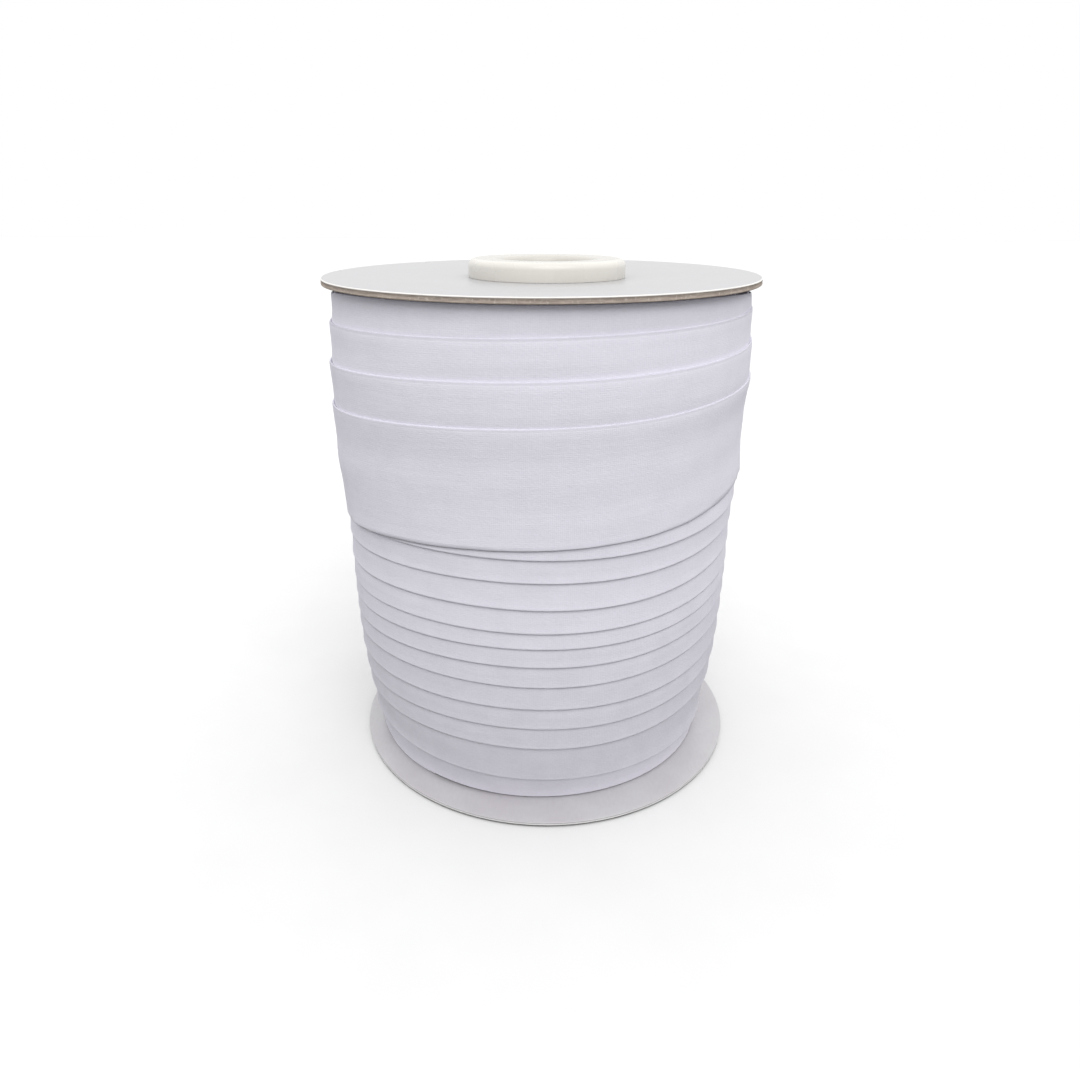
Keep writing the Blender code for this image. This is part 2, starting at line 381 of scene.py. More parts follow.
@dataclass(frozen=True)
class WoundLayers:
    """The wound tape seen on its folds, layer on layer."""

    colour: Colour = (0.60, 0.59, 0.65)
    fold: Colour = (0.42, 0.41, 0.46)
    pitch: float = 0.65 * MM
    uneven_size: float = 4.0 * MM
    ring_share: float = 0.7
    uneven_share: float = 0.3
    shading: Pair = (0.1, 0.5)
    relief: float = 0.15 * MM
    roughness: float = 0.92
    gloss: float = 0.2

    def material(self, name: str) -> bpy.types.Material:
        """Builds the layers.

        Args:
            name: The material's name.

        Returns:
            The material.
        """
        g = Graph.of(name)
        place = g.place()
        x, y, _ = g.parts(place)
        rings = (radius_of(x, y) * (TURN / self.pitch)).sine() * 0.5 + 0.5
        uneven = g.noise(place, self.uneven_size)
        shade = (rings * self.ring_share + uneven * self.uneven_share).between(*self.shading)
        return g.finish(
            Base_Color=g.mix(shade, self.fold, self.colour),
            Roughness=self.roughness,
            Specular_IOR_Level=self.gloss,
            Normal=g.bump(rings, self.relief),
        )


@dataclass(frozen=True)
class LinedBoard:
    """White-lined greyboard: a smooth calendered liner whose fibres and scuffs barely show."""

    colour: Colour = (0.425, 0.424, 0.434)
    scuff: Colour = (0.408, 0.406, 0.415)
    roughness: float = 0.30
    roughness_spread: float = 0.14
    gloss: float = 0.45
    cloud_size: float = 22.0 * MM
    cloud_share: float = 0.7
    fibre_size: float = 0.8 * MM
    fibre_scale: Triple = (1.0, 0.35, 1.0)
    fibre_share: float = 0.3
    fibre_height: float = 0.012 * MM
    scuffing: Pair = (0.35, 0.65)

    def material(self, name: str) -> bpy.types.Material:
        """Builds the liner.

        Args:
            name: The material's name.

        Returns:
            The material.
        """
        g = Graph.of(name)
        place = g.place()
        cloud = g.noise(place, self.cloud_size, detail=3.0)
        fibre = g.noise(g.moved(place, self.fibre_scale), self.fibre_size, detail=3.0)
        shade = (cloud * self.cloud_share + fibre * self.fibre_share).between(*self.scuffing)
        smoothest = self.roughness - self.roughness_spread / 2
        return g.finish(
            Base_Color=g.mix(shade, self.scuff, self.colour),
            Roughness=cloud * self.roughness_spread + smoothest,
            Specular_IOR_Level=self.gloss,
            Normal=g.bump(fibre, self.fibre_height),
        )


@dataclass(frozen=True)
class CutBoard:
    """The board's cut edge: bare grey-brown pulp, compressed in layers, between two white liners.
    """

    pulp: Colour = (0.450, 0.385, 0.332)
    dark: Colour = (0.335, 0.282, 0.243)
    pale: Colour = (0.530, 0.470, 0.415)
    roughness: float = 0.85
    gloss: float = 0.2
    layer_size: float = 0.35 * MM
    layer_scale: Triple = (0.12, 0.12, 1.0)
    layering: Pair = (0.35, 0.65)
    fleck_size: float = 0.7 * MM
    flecking: Pair = (0.55, 0.72)
    relief_layers: float = 0.6
    relief_flecks: float = 0.4
    relief: float = 0.09 * MM

    def material(self, name: str) -> bpy.types.Material:
        """Builds the cut edge.

        Args:
            name: The material's name.

        Returns:
            The material.
        """
        g = Graph.of(name)
        place = g.place()
        layers = g.noise(g.moved(place, self.layer_scale), self.layer_size, detail=3.0)
        fleck = g.noise(place, self.fleck_size, detail=3.0)
        pulp = g.mix(layers.between(*self.layering), self.dark, self.pulp)
        return g.finish(
            Base_Color=g.mix(fleck.between(*self.flecking), pulp, self.pale),
            Roughness=self.roughness,
            Specular_IOR_Level=self.gloss,
            Normal=g.bump(layers * self.relief_layers + fleck * self.relief_flecks, self.relief),
        )


@dataclass(frozen=True)
class CorePlastic:
    """Warm off-white moulded plastic, softly glossy, with painted shade on the collar's top."""

    colour: Colour = (0.655, 0.635, 0.592)
    worn: Colour = (0.635, 0.615, 0.572)
    # Painted shade: the collar's top, within this radius of the axis, is coloured darker than its
    # side.
    painted_top_shade: Colour = (0.537, 0.520, 0.482)
    painted_top_shade_within: Pair = (19.4 * MM, 20.3 * MM)
    axis_x: float = 0.8 * MM
    roughness: float = 0.27
    roughness_spread: float = 0.12
    gloss: float = 0.5
    cloud_size: float = 9.0 * MM
    wear: Pair = (0.35, 0.7)
    skin_size: float = 0.6 * MM
    skin_height: float = 0.003 * MM

    def material(self, name: str) -> bpy.types.Material:
        """Builds the plastic.

        Args:
            name: The material's name.

        Returns:
            The material.
        """
        g = Graph.of(name)
        place = g.place()
        cloud = g.noise(place, self.cloud_size)
        skin = g.noise(place, self.skin_size)
        x, y, _ = g.parts(place)
        radius = radius_of(x - self.axis_x, y)
        moulded = g.mix(cloud.between(*self.wear), self.worn, self.colour)
        smoothest = self.roughness - self.roughness_spread / 2
        return g.finish(
            # Painted shade: darker colour on the collar's top, inside the given radius.
            Base_Color=g.mix(radius.between(*self.painted_top_shade_within), self.painted_top_shade, moulded),
            Roughness=cloud * self.roughness_spread + smoothest,
            Specular_IOR_Level=self.gloss,
            Normal=g.bump(skin, self.skin_height),
        )


@dataclass(frozen=True)
class StudioFloor:
    """A plain pale floor."""

    colour: Colour = (0.705, 0.705, 0.705)
    shade: float = 0.985
    grain_size: float = 25.0 * MM
    grain: Pair = (0.3, 0.7)
    roughness: float = 0.9
    gloss: float = 0.1

    def material(self, name: str) -> bpy.types.Material:
        """Builds the floor's paint.

        Args:
            name: The material's name.

        Returns:
            The material.
        """
        g = Graph.of(name)
        speckle = g.noise(g.place(), self.grain_size).between(*self.grain)
        shaded = tuple(self.shade * c for c in self.colour)
        return g.finish(
            Base_Color=g.mix(speckle, shaded, self.colour),
            Roughness=self.roughness,
            Specular_IOR_Level=self.gloss,
        )


def placed(name: str, data: bpy.types.ID) -> bpy.types.Object:
    """Links a new object to the scene.

    Args:
        name: The object's name.
        data: Its mesh, light or camera.

    Returns:
        The object.
    """
    made = bpy.data.objects.new(name, data)
    bpy.context.scene.collection.objects.link(made)
    return made


def object_from(
    shape: bmesh.types.BMesh, name: str, *materials: bpy.types.Material
) -> bpy.types.Object:
    """Makes a finished object at the origin from a shape.

    Args:
        shape: The shape, which is freed.
        name: The object's name.
        materials: What it wears, in the order of its face numbers.

    Returns:
        The object, linked to the scene.
    """
    mesh = bpy.data.meshes.new(name)
    shape.to_mesh(mesh)
    shape.free()
    for material in materials:
        mesh.materials.append(material)
    return placed(name, mesh)


def spun_profile(profile: Rows, segments: int) -> bmesh.types.BMesh:
    """Spins a closed outline of (radius, height) points right round the Z axis.

    Args:
        profile: The outline in order, none of it on the axis.
        segments: How many steps the spin takes.

    Returns:
        The closed shape, its faces pointing outwards.
    """
    shape = bmesh.new()
    corners = [shape.verts.new((radius, 0.0, height)) for radius, height in profile]
    following = corners[1:] + corners[:1]
    edges = [shape.edges.new((here, after)) for here, after in zip(corners, following)]
    bmesh.ops.spin(
        shape,
        geom=[*corners, *edges],
        cent=(0, 0, 0),
        axis=(0, 0, 1),
        angle=TURN,
        steps=segments,
        use_merge=True,
    )
    bmesh.ops.remove_doubles(shape, verts=shape.verts[:], dist=WELD)
    bmesh.ops.recalc_face_normals(shape, faces=shape.faces[:])
    # Each run leaves the faces in another order.
    shape.verts.index_update()
    shape.faces.sort(key=lambda face: face.verts[0].index * len(shape.verts) + face.verts[1].index)
    for face in shape.faces:
        face.smooth = True
    return shape


def keep_corners(shape: bmesh.types.BMesh) -> None:
    """Shades a shape's sharp edges sharp and the rest smooth."""
    for edge in shape.edges:
        edge.smooth = edge.calc_face_angle(0.0) < SHARP_CORNER


def arc(centre_r: float, centre_z: float, radius: float, start: float, steps: int) -> list[Pair]:
    """Points of a quarter circle in a spun outline, clockwise from its first angle in degrees."""
    angles = [math.radians(start - 90.0 * step / steps) for step in range(steps + 1)]
    return [(centre_r + radius * math.cos(a), centre_z + radius * math.sin(a)) for a in angles]


@dataclass
class WindingPath:
    """Where the tape runs on the roll.

    It climbs the roll in lapped turns, turns back under the top board and comes down again, until
    the wide last band ends at its cut end. Azimuths are 0 at the front and rise to the right, and
    turns are counted at the front. The rows hold millimetres, against heights or counts of turns.
    """

    axis_x: float = -1.04 * MM
    cut_end: float = math.radians(-150.0)
    tape_width: float = 30.0 * MM
    lap: float = 0.65 * MM
    edge_round: float = 0.3 * MM
    lap_fade: float = 6.0 * MM
    lift: float = 0.75
    lift_reach: float = 3.0 * MM
    hidden_edge_spread: float = 7.0 * MM
    foot_spread: float = 2.6 * MM
    foot_spread_height: float = 14.0 * MM
    floor: float = 2.0 * MM
    ceiling: float = 138.65 * MM
    ceiling_sag: float = 1.9 * MM
    ceiling_sag_power: int = 8
    ceiling_lean: float = 0.15 * MM
    first_climb: float = 12.9
    last_climb: float = -4.4
    first_fall: float = -1.6
    last_fall: float = 2.0 + 150.0 / 360.0
    band_turn: int = 2
    lapped_turns: range = range(-1, 13)
    settle_from: float = -1.7
    settle_over: float = 0.7
    face: Rows = (
        (1.9, 48.8),
        (4.9, 50.2),
        (8.9, 51.8),
        (12.9, 53.0),
        (19.0, 54.1),
        (27.9, 55.2),
        (36.0, 55.9),
        (46.0, 56.3),
        (60.0, 56.6),
        (74.0, 56.7),
        (82.0, 57.2),
        (91.0, 57.6),
        (108.0, 56.8),
        (120.0, 56.6),
        (139.0, 56.3),
    )
    climbing_edges: Rows = (
        (-6, 121.0),
        (-2, 97.5),
        (-1, 91.5),
        (0, 85.4),
        (1, 79.3),
        (2, 72.9),
        (3, 65.7),
        (4, 59.1),
        (5, 54.3),
        (6, 49.0),
        (7, 43.1),
        (8, 36.0),
        (9, 29.4),
        (10, 22.7),
        (11, 10.7),
        (12, 1.6),
        (13, -8.0),
    )
    falling_edges: Rows = (
        (-2, 141.0),
        (-1, 139.3),
        (0, 131.8),
        (1, 122.5),
        (2, 112.1),
        (3, 101.9),
    )
    sway: Rows = ((8.0, 0.0), (22.7, 4.0), (84.0, 4.0), (112.0, 2.0), (132.0, 0.0))
    sway_power: int = 3
    left_slack: Rows = (
        (92.0, 0.0),
        (104.0, 0.3),
        (112.0, 0.5),
        (126.0, 0.45),
        (133.0, 0.9),
        (139.0, 1.0),
    )

    def swayed(self, height: np.ndarray, azimuth: np.ndarray) -> np.ndarray:
        """A turn edge's height with its skew, up on the right and down on the left."""
        sway = MM * smooth_through(self.sway, height / MM)
        return height + sway * np.sin(azimuth) ** self.sway_power

    def ceiling_at(self, azimuth: np.ndarray) -> np.ndarray:
        """Height that the roll's head reaches, a little lower beside than in front.

        Args:
            azimuth: Where round the roll.

        Returns:
            The height at each azimuth.
        """
        beside = np.sin(azimuth)
        sag = self.ceiling_sag * beside**self.ceiling_sag_power
        return self.ceiling - sag + self.ceiling_lean * beside

    def foot_of_climb(self, count: np.ndarray) -> np.ndarray:
        """Height of the climbing tape's lower edge, by turns counted downwards."""
        return self.swayed(MM * smooth_through(self.climbing_edges, count), TURN * count)

    def head_of_fall(self, count: np.ndarray) -> np.ndarray:
        """Height of the falling tape's upper edge, by turns counted along the tape."""
        return self.swayed(MM * smooth_through(self.falling_edges, count), -TURN * count)

    def foot_of_fall(self, count: np.ndarray) -> np.ndarray:
        """Height of the falling tape's lower edge, by turns counted along the tape."""
        upper = MM * smooth_through(self.falling_edges, count)
        return self.swayed(upper - self.tape_width, -TURN * count)

    def bare_face(self, azimuth: float, heights: np.ndarray) -> np.ndarray:
        """Radius of the climbing turns without their laps.

        Args:
            azimuth: Where round the roll.
            heights: Where it is read.

        Returns:
            The radius at each height.
        """
        beside, left = math.sin(azimuth) ** 2, max(-math.sin(azimuth), 0.0) ** 2
        spread = self.foot_spread * beside * (1 - ramp(heights, self.foot_spread_height))
        slack = left * MM * smooth_through(self.left_slack, heights / MM)
        return MM * smooth_through(self.face, heights / MM) + spread - slack

    def fallen_surface(self, azimuth: float, heights: np.ndarray) -> np.ndarray:
        """Radius of the roll where the falling turns lie over the climbing ones.

        Args:
            azimuth: Where round the roll, from the cut end on for one turn.
            heights: Where it is read.

        Returns:
            The radius at each height.
        """
        round_it = azimuth / TURN
        band_foot = float(self.foot_of_fall(np.array(self.band_turn - round_it)))
        feet = [float(self.foot_of_climb(np.array(turn + round_it))) for turn in self.lapped_turns]
        nearest = min((band_foot - foot for foot in feet if band_foot > foot), default=math.inf)
        lip = self.lap * math.exp(-max(nearest - self.edge_round, 0.0) / self.lap_fade)
        # The last band bulges over the lap that its lower edge lies close to.
        bulge = lip * np.exp((band_foot - heights) / self.lap_fade)
        surface = self.bare_face(azimuth, heights) + bulge
        for turn in range(-self.band_turn, self.band_turn + 1):
            at = np.array(turn - round_it)
            upper, lower = float(self.head_of_fall(at)), float(self.foot_of_fall(at))
            spread = self.edge_round if turn == self.band_turn else self.hidden_edge_spread
            laid = self.lap * float(ramp(at - self.settle_from, self.settle_over))
            above = self.lift * np.exp(-np.maximum(heights - upper, 0.0) / self.lift_reach)
            surface += laid * np.where(heights > upper, above, 1.0) * ramp(heights - lower, spread)
        return surface


@dataclass
class InnerRoll:
    """The plain wound layers behind the strip, which close the roll's ends round the core."""

    path: WindingPath
    clearance: float = 0.25 * MM
    depth_in_laps: int = 4
    hub: float = 16.3 * MM
    hub_top: float = 137.8 * MM
    wall_top: float = 136.2 * MM
    wall_levels: int = 40
    crown: Rows = ((47.0 * MM, 137.2 * MM), (40.0 * MM, 138.3 * MM), (22.0 * MM, 137.8 * MM))
    segments: int = 96

    def build(self, heights: np.ndarray, room: np.ndarray) -> bpy.types.Object:
        """Spins the layers and sets them on the roll's axis.

        Args:
            heights: Heights up the roll.
            room: The radius that is free under the strip, at each column and height.

        Returns:
            The layers as one piece.
        """
        path, least = self.path, room.min(axis=0)
        bare = path.bare_face(0.0, heights) - self.depth_in_laps * path.lap
        face = np.where(np.isfinite(least), np.minimum(least, bare), bare) - self.clearance
        levels = np.linspace(path.floor, self.wall_top, self.wall_levels)
        wall = [(float(np.interp(z, heights, face)), float(z)) for z in levels]
        outline = [(self.hub, self.hub_top), (self.hub, path.floor), *wall, *self.crown]
        shape = spun_profile(outline, self.segments)
        bmesh.ops.translate(shape, vec=(path.axis_x, 0, 0), verts=shape.verts[:])
        return object_from(shape, "inner_layers", WoundLayers().material("tape_layers"))


@dataclass
class WoundTape:
    """The wound tape: one long folded strip in lapped turns, over the plain layers inside."""

    path: WindingPath = field(default_factory=WindingPath)
    thickness: float = 0.6 * MM
    columns_a_turn: int = 96
    across: int = 16
    edge_steps: int = 4
    under_slope: float = 1.2
    least_width: float = 0.98
    waver: float = 0.10 * MM
    waver_waves: tuple[Triple, ...] = ((1.0, 1.73, 0.6), (0.7, 4.31, 2.1))
    ripple: float = 0.05 * MM
    ripple_rate: float = 2.3
    ripple_reach: float = 5.2 * MM
    puff: float = 0.07 * MM
    puff_reach: float = 1.0 * MM
    fold_taper: float = 0.36 * MM
    fold_reach: float = 0.9 * MM
    flare_front: float = 0.25 * MM
    flare_beside: float = 0.50 * MM
    flare_left: float = 0.14 * MM
    flare_reach: float = 4.0 * MM
    grid_step: float = 0.25 * MM
    grid_past: float = 2.0 * MM
    weld: float = 0.2e-6
    layer: str = "tape"
    columns: int = field(init=False)
    heights: np.ndarray = field(init=False)

    def __post_init__(self) -> None:
        """Works out the columns along the strip, from its cut end back to its hidden one."""
        path = self.path
        turns = (path.first_climb - path.last_climb) + (path.last_fall - path.first_fall)
        self.columns = int(turns * self.columns_a_turn)
        self.heights = np.arange(0.0, path.ceiling + self.grid_past, self.grid_step)

    def azimuth_of(self, column: int) -> float:
        """Where round the roll a column lies, counted from the cut end."""
        return self.path.cut_end + TURN * column / self.columns_a_turn

    def edges(self) -> tuple[np.ndarray, np.ndarray]:
        """Works out how high the strip's edges run.

        Returns:
            Heights of the lower and of the upper edge at each column.
        """
        path = self.path
        back = np.arange(self.columns + 1) / self.columns_a_turn
        fall = path.last_fall - back
        climb = path.last_climb - (fall - path.first_fall)
        falling = fall > path.first_fall
        foot = np.where(falling, path.foot_of_fall(fall), path.foot_of_climb(climb))
        waves = [
            share * np.sin(TURN * back * rate + start) for share, rate, start in self.waver_waves
        ]
        foot = foot + self.waver * sum(waves)
        ceiling = path.ceiling_at(TURN * back + path.cut_end)
        foot = np.clip(foot, path.floor, ceiling - path.tape_width)
        head = foot + path.tape_width
        head = np.where(falling, np.minimum(path.head_of_fall(fall), ceiling), head)
        return np.minimum(foot, head - path.tape_width * self.least_width), head

    def upper_edge(self, azimuth: float, below: np.ndarray) -> np.ndarray:
        """How far the strip's upper edge stands out, flared beside and rounded at its fold.

        Args:
            azimuth: Where round the roll.
            below: Distances below the edge.

        Returns:
            What is added to the radius at each distance.
        """
        beside = math.sin(azimuth)
        flare = self.flare_front + self.flare_beside * beside**2 - self.flare_left * beside
        taper = self.fold_taper * np.exp(-below / self.fold_reach)
        return flare * np.exp(-below / self.flare_reach) - taper

    def lay(self) -> tuple[list[np.ndarray], np.ndarray]:
        """Lays the strip on from its cut end backwards, each turn close under the newer ones.

        Returns:
            The outer radius against height at each column, and what room is left under all of it.
        """
        path, per = self.path, self.columns_a_turn
        azimuths = [self.azimuth_of(column) for column in range(per)]
        fallen = np.array([path.fallen_surface(a, self.heights) for a in azimuths])
        bare = np.array([path.bare_face(a, self.heights) for a in azimuths])
        room = np.full((per, len(self.heights)), np.inf)
        outer: list[np.ndarray] = []
        for i, (foot, head) in enumerate(zip(*self.edges())):
            c = i % per
            rise = np.maximum(self.heights - foot, 0.0)
            if path.last_fall - i / per > path.first_fall:
                own = fallen[c]
            else:
                own = bare[c] + path.lap * np.exp(-rise / path.lap_fade)
            own = own + self.puff * np.exp(-rise / self.puff_reach)
            own = own + self.upper_edge(azimuths[c], np.maximum(head - self.heights, 0.0))
            phase = TURN * i / per * self.ripple_rate
            own = own + self.ripple * np.sin(phase + self.heights / self.ripple_reach)
            inside = np.clip(self.heights, foot + path.edge_round, head - path.edge_round)
            laid = np.interp(inside, self.heights, np.minimum(own, room[c]))
            outer.append(laid)
            beyond = np.maximum(np.maximum(foot - self.heights, self.heights - head), 0.0)
            room[c] = np.minimum(room[c], laid - path.lap + self.under_slope * beyond)
        return outer, room

    def section(self, foot: float, head: float, radius: Callable[[float], float]) -> list[Pair]:
        """The strip's closed cross-section, up its outer face and down its inner one.

        Args:
            foot: The lower edge's height.
            head: The upper edge's height.
            radius: The outer face's radius at a height.

        Returns:
            Points of (radius, height), without the first one again.
        """
        half = self.thickness / 2
        low, high = foot + half, head - half
        eased = [0.5 - 0.5 * math.cos(math.pi * i / self.across) for i in range(self.across + 1)]
        outer = [(radius(z), z) for z in (low + (high - low) * share for share in eased)]
        inner = [(r - self.thickness, z) for r, z in reversed(outer[::2])]
        over, under = [], []
        for step in range(1, self.edge_steps):
            angle = math.pi * step / self.edge_steps
            drop = half * (1 - math.cos(angle))
            over.append((outer[-1][0] - drop, high + half * math.sin(angle)))
            under.append((outer[0][0] - self.thickness + drop, low - half * math.sin(angle)))
        return [*outer, *over, *inner, *under]

    def rings(self, outer: list[np.ndarray]) -> list[list[Vector]]:
        """Stands the strip's cross-section round the roll.

        Args:
            outer: The outer radius against height at each column.

        Returns:
            The section's points at each column.
        """
        axis_x, rings = self.path.axis_x, []
        for i, (laid, foot, head) in enumerate(zip(outer, *self.edges())):
            section = self.section(foot, head, lambda z: float(np.interp(z, self.heights, laid)))
            azimuth = self.azimuth_of(i)
            sine, cosine = math.sin(azimuth), math.cos(azimuth)
            rings.append([Vector((axis_x + r * sine, -r * cosine, z)) for r, z in section])
        return rings

    def strip(self, rings: list[list[Vector]]) -> tuple[bmesh.types.BMesh, float]:
        """Bends a grid into the laid strip and maps it in metres along and across the tape.

        Args:
            rings: The cross-section's points at each column.

        Returns:
            The closed strip, and its length along the middle of its outer face.
        """
        along = distances([ring[self.across // 2] for ring in rings])
        round_it = distances(rings[0] + rings[0][:1])
        around = len(rings[0])
        shape = bmesh.new()
        bmesh.ops.create_grid(shape, x_segments=self.columns, y_segments=around, size=1.0)
        # The grid's corners run from -1 to 1, and its last row closes on its first.
        place = {}
        for vertex in shape.verts:
            i = round((vertex.co.x + 1.0) / 2.0 * self.columns)
            j = round((vertex.co.y + 1.0) / 2.0 * around)
            place[vertex] = (along[i], round_it[j])
            vertex.co = rings[i][j % around]
        chart = shape.loops.layers.uv.new(self.layer)
        for face in shape.faces:
            face.smooth = True
            for loop in face.loops:
                loop[chart].uv = place[loop.vert]
        bmesh.ops.remove_doubles(shape, verts=shape.verts[:], dist=self.weld)
        ends = [edge for edge in shape.edges if edge.is_boundary]
        for face in bmesh.ops.holes_fill(shape, edges=ends, sides=0)["faces"]:
            for loop in face.loops:
                loop[chart].uv = (loop.vert.co.z, loop.vert.co.x)
        bmesh.ops.recalc_face_normals(shape, faces=shape.faces[:])
        return shape, float(along[-1])

    def build(self) -> list[bpy.types.Object]:
        """Makes the strip and the layers inside it, and hides the imported winding.

        Returns:
            The two pieces.
        """
        outer, room = self.lay()
        shape, length = self.strip(self.rings(outer))
        strip = object_from(shape, "wound_tape", TapeCloth().material("tape_cloth", self.layer))
        pieces = [strip, InnerRoll(self.path).build(self.heights, room)]
        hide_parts("tape_winding")
        return pieces


@dataclass
class Board:
    """A round lined board, which may be dished and tilted by the collar pressing on it.

    Its cut edge is recessed a little between the liners. The rings of its faces are in millimetres.
    """

    name: str
    centre: Triple
    hole: float
    hole_x: float = 0.8 * MM
    hole_rim: float = 1.5 * MM
    hole_edge_within: float = 11.0 * MM
    hole_rim_within: float = 15.0 * MM
    radius: float = 59.0 * MM
    thickness: float = 1.6 * MM
    liner: float = 0.30 * MM
    corner: float = 0.22 * MM
    corner_steps: int = 3
    foot_corner: float = 0.22 * MM
    foot_steps: int = 5
    recess: float = 0.04 * MM
    recess_slope: float = 0.05 * MM
    sliver: float = 0.01 * MM
    skin: float = 0.001 * MM
    face_rings: tuple[float, ...] = (10.0, 14.0, *range(22, 44, 2), 50.0)
    dish_depth: float = 0.0
    dish_floor: float = 22.0 * MM
    dish_radius: float = 42.0 * MM
    tilt: Pair = (0.0, 0.0)
    segments: int = 192
    face: LinedBoard = LinedBoard()
    # Painted highlight: the lip, the upper liner's cut side on the rim, is near white.
    lip: LinedBoard = LinedBoard((0.84, 0.82, 0.79), (0.81, 0.79, 0.76), roughness=0.35)
    edge: CutBoard = CutBoard()
    foot: CutBoard = CutBoard()

    def drop(self, radius: float) -> float:
        """How far the dish lowers the board.

        Args:
            radius: Distance from the board's middle.

        Returns:
            The depth there.
        """
        t = (radius - self.dish_floor) / (self.dish_radius - self.dish_floor)
        t = min(max(t, 0.0), 1.0)
        return self.dish_depth * (1 - t * t * (3 - 2 * t))

    def outline(self) -> list[Pair]:
        """Draws the board's section, over its upper face, down its edge and back underneath.

        Returns:
            Points of (radius, height) about the board's middle.
        """
        half, rim, corner, foot = self.thickness / 2, self.radius, self.corner, self.foot_corner
        inset = rim - self.recess
        face = [MM * r for r in self.face_rings]
        upper = [(r, half - self.drop(r)) for r in face]
        lower = [(r, -half - self.drop(r)) for r in reversed(face)]
        pulp, under = half - self.liner, max(self.liner, foot + self.sliver) - half
        side = arc(rim - corner, half - corner, corner, 90.0, self.corner_steps)
        side += [(rim, pulp), (inset, pulp - self.recess_slope)]
        side += [(inset, under + self.recess_slope), (rim, under)]
        side += arc(rim - foot, foot - half, foot, 0.0, self.foot_steps)
        return upper + side + lower

    def open_hole(self, shape: bmesh.types.BMesh) -> None:
        """Moves the two innermost rings out to the hole and its rim, round the core's axis.

        Args:
            shape: The spun board, before it is set in its place.
        """
        aside = Vector((self.hole_x - self.centre[0], -self.centre[1], 0.0))
        for vertex in shape.verts:
            radius = math.hypot(vertex.co.x, vertex.co.y)
            if radius < self.hole_rim_within:
                at_edge = radius < self.hole_edge_within
                grow = (self.hole if at_edge else self.hole + self.hole_rim) / radius
                vertex.co = Vector((vertex.co.x * grow, vertex.co.y * grow, vertex.co.z)) + aside

    def number_faces(self, shape: bmesh.types.BMesh) -> None:
        """Gives the faces of the rim the numbers of their finishes.

        Args:
            shape: The spun board, before it is dished or tilted.
        """
        half = self.thickness / 2
        rim = self.radius - max(self.corner, self.foot_corner)
        lip_above, foot_below = half - self.liner + self.sliver, self.foot_corner - half
        for face in shape.faces:
            middle = face.calc_center_median()
            if math.hypot(middle.x, middle.y) > rim and abs(middle.z) < half - self.skin:
                # On the bottom board the foot faces wear painted shade.
                worn = BoardFace.CUT if middle.z > foot_below else BoardFace.FOOT
                # The lip faces wear a painted highlight on the top board.
                worn = BoardFace.LIP if middle.z > lip_above else worn
                face.material_index = worn.value

    def lean(self, shape: bmesh.types.BMesh) -> None:
        """Tilts the board outside its dish, whose floor the collar holds level.

        Args:
            shape: The board about its own middle.
        """
        up_behind, up_right = self.tilt
        for vertex in shape.verts:
            radius = math.hypot(vertex.co.x, vertex.co.y)
            held = self.drop(radius) / self.dish_depth if self.dish_depth else 0.0
            slope = up_behind * vertex.co.y + up_right * vertex.co.x
            vertex.co.z += (1 - held) * slope

    def build(self) -> bpy.types.Object:
        """Spins the board, opens its hole, leans it and sets it in its place.

        Returns:
            The board as one piece.
        """
        shape = spun_profile(self.outline(), self.segments)
        self.open_hole(shape)
        self.number_faces(shape)
        self.lean(shape)
        bmesh.ops.translate(shape, vec=self.centre, verts=shape.verts[:])
        keep_corners(shape)
        finishes = {
            BoardFace.LINER: self.face,
            BoardFace.LIP: self.lip,
            BoardFace.CUT: self.edge,
            BoardFace.FOOT: self.foot,
        }
        worn = [
            finish.material(f"{self.name}_{part.name.lower()}") for part, finish in finishes.items()
        ]
        made = object_from(shape, self.name + "_disc", *worn)
        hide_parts(self.name + "_board")
        return made


@dataclass
class Core:
    """The moulded core: a tube with a rounded collar that holds the top board down."""

    axis_x: float = 0.8 * MM
    bore: float = 12.5 * MM
    tube: float = 16.0 * MM
    foot: float = 1.9 * MM
    seat: float = 140.02 * MM
    head: float = 144.9 * MM
    collar: float = 21.6 * MM
    mouth_round: float = 2.2 * MM
    top_round: float = 1.9 * MM
    round_steps: int = 8
    foot_round: float = 0.12 * MM
    foot_steps: int = 4
    segments: int = 160

    def outline(self) -> list[Pair]:
        """Draws the core's section, over the collar from its mouth and down the tube.

        Returns:
            Points of (radius, height).
        """
        mouth, top, foot = self.mouth_round, self.top_round, self.foot_round
        outline = arc(self.bore + mouth, self.head - mouth, mouth, 180.0, self.round_steps)
        outline += arc(self.collar - top, self.head - top, top, 90.0, self.round_steps)
        outline += arc(self.collar - foot, self.seat + foot, foot, 0.0, self.foot_steps)
        return outline + [(self.tube, self.seat), (self.tube, self.foot), (self.bore, self.foot)]

    def build(self) -> bpy.types.Object:
        """Spins the core and sets it on its axis.

        Returns:
            The core as one piece.
        """
        shape = spun_profile(self.outline(), self.segments)
        bmesh.ops.translate(shape, vec=(self.axis_x, 0, 0), verts=shape.verts[:])
        keep_corners(shape)
        made = object_from(shape, "moulded_core", CorePlastic().material("core_plastic"))
        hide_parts("core")
        return made


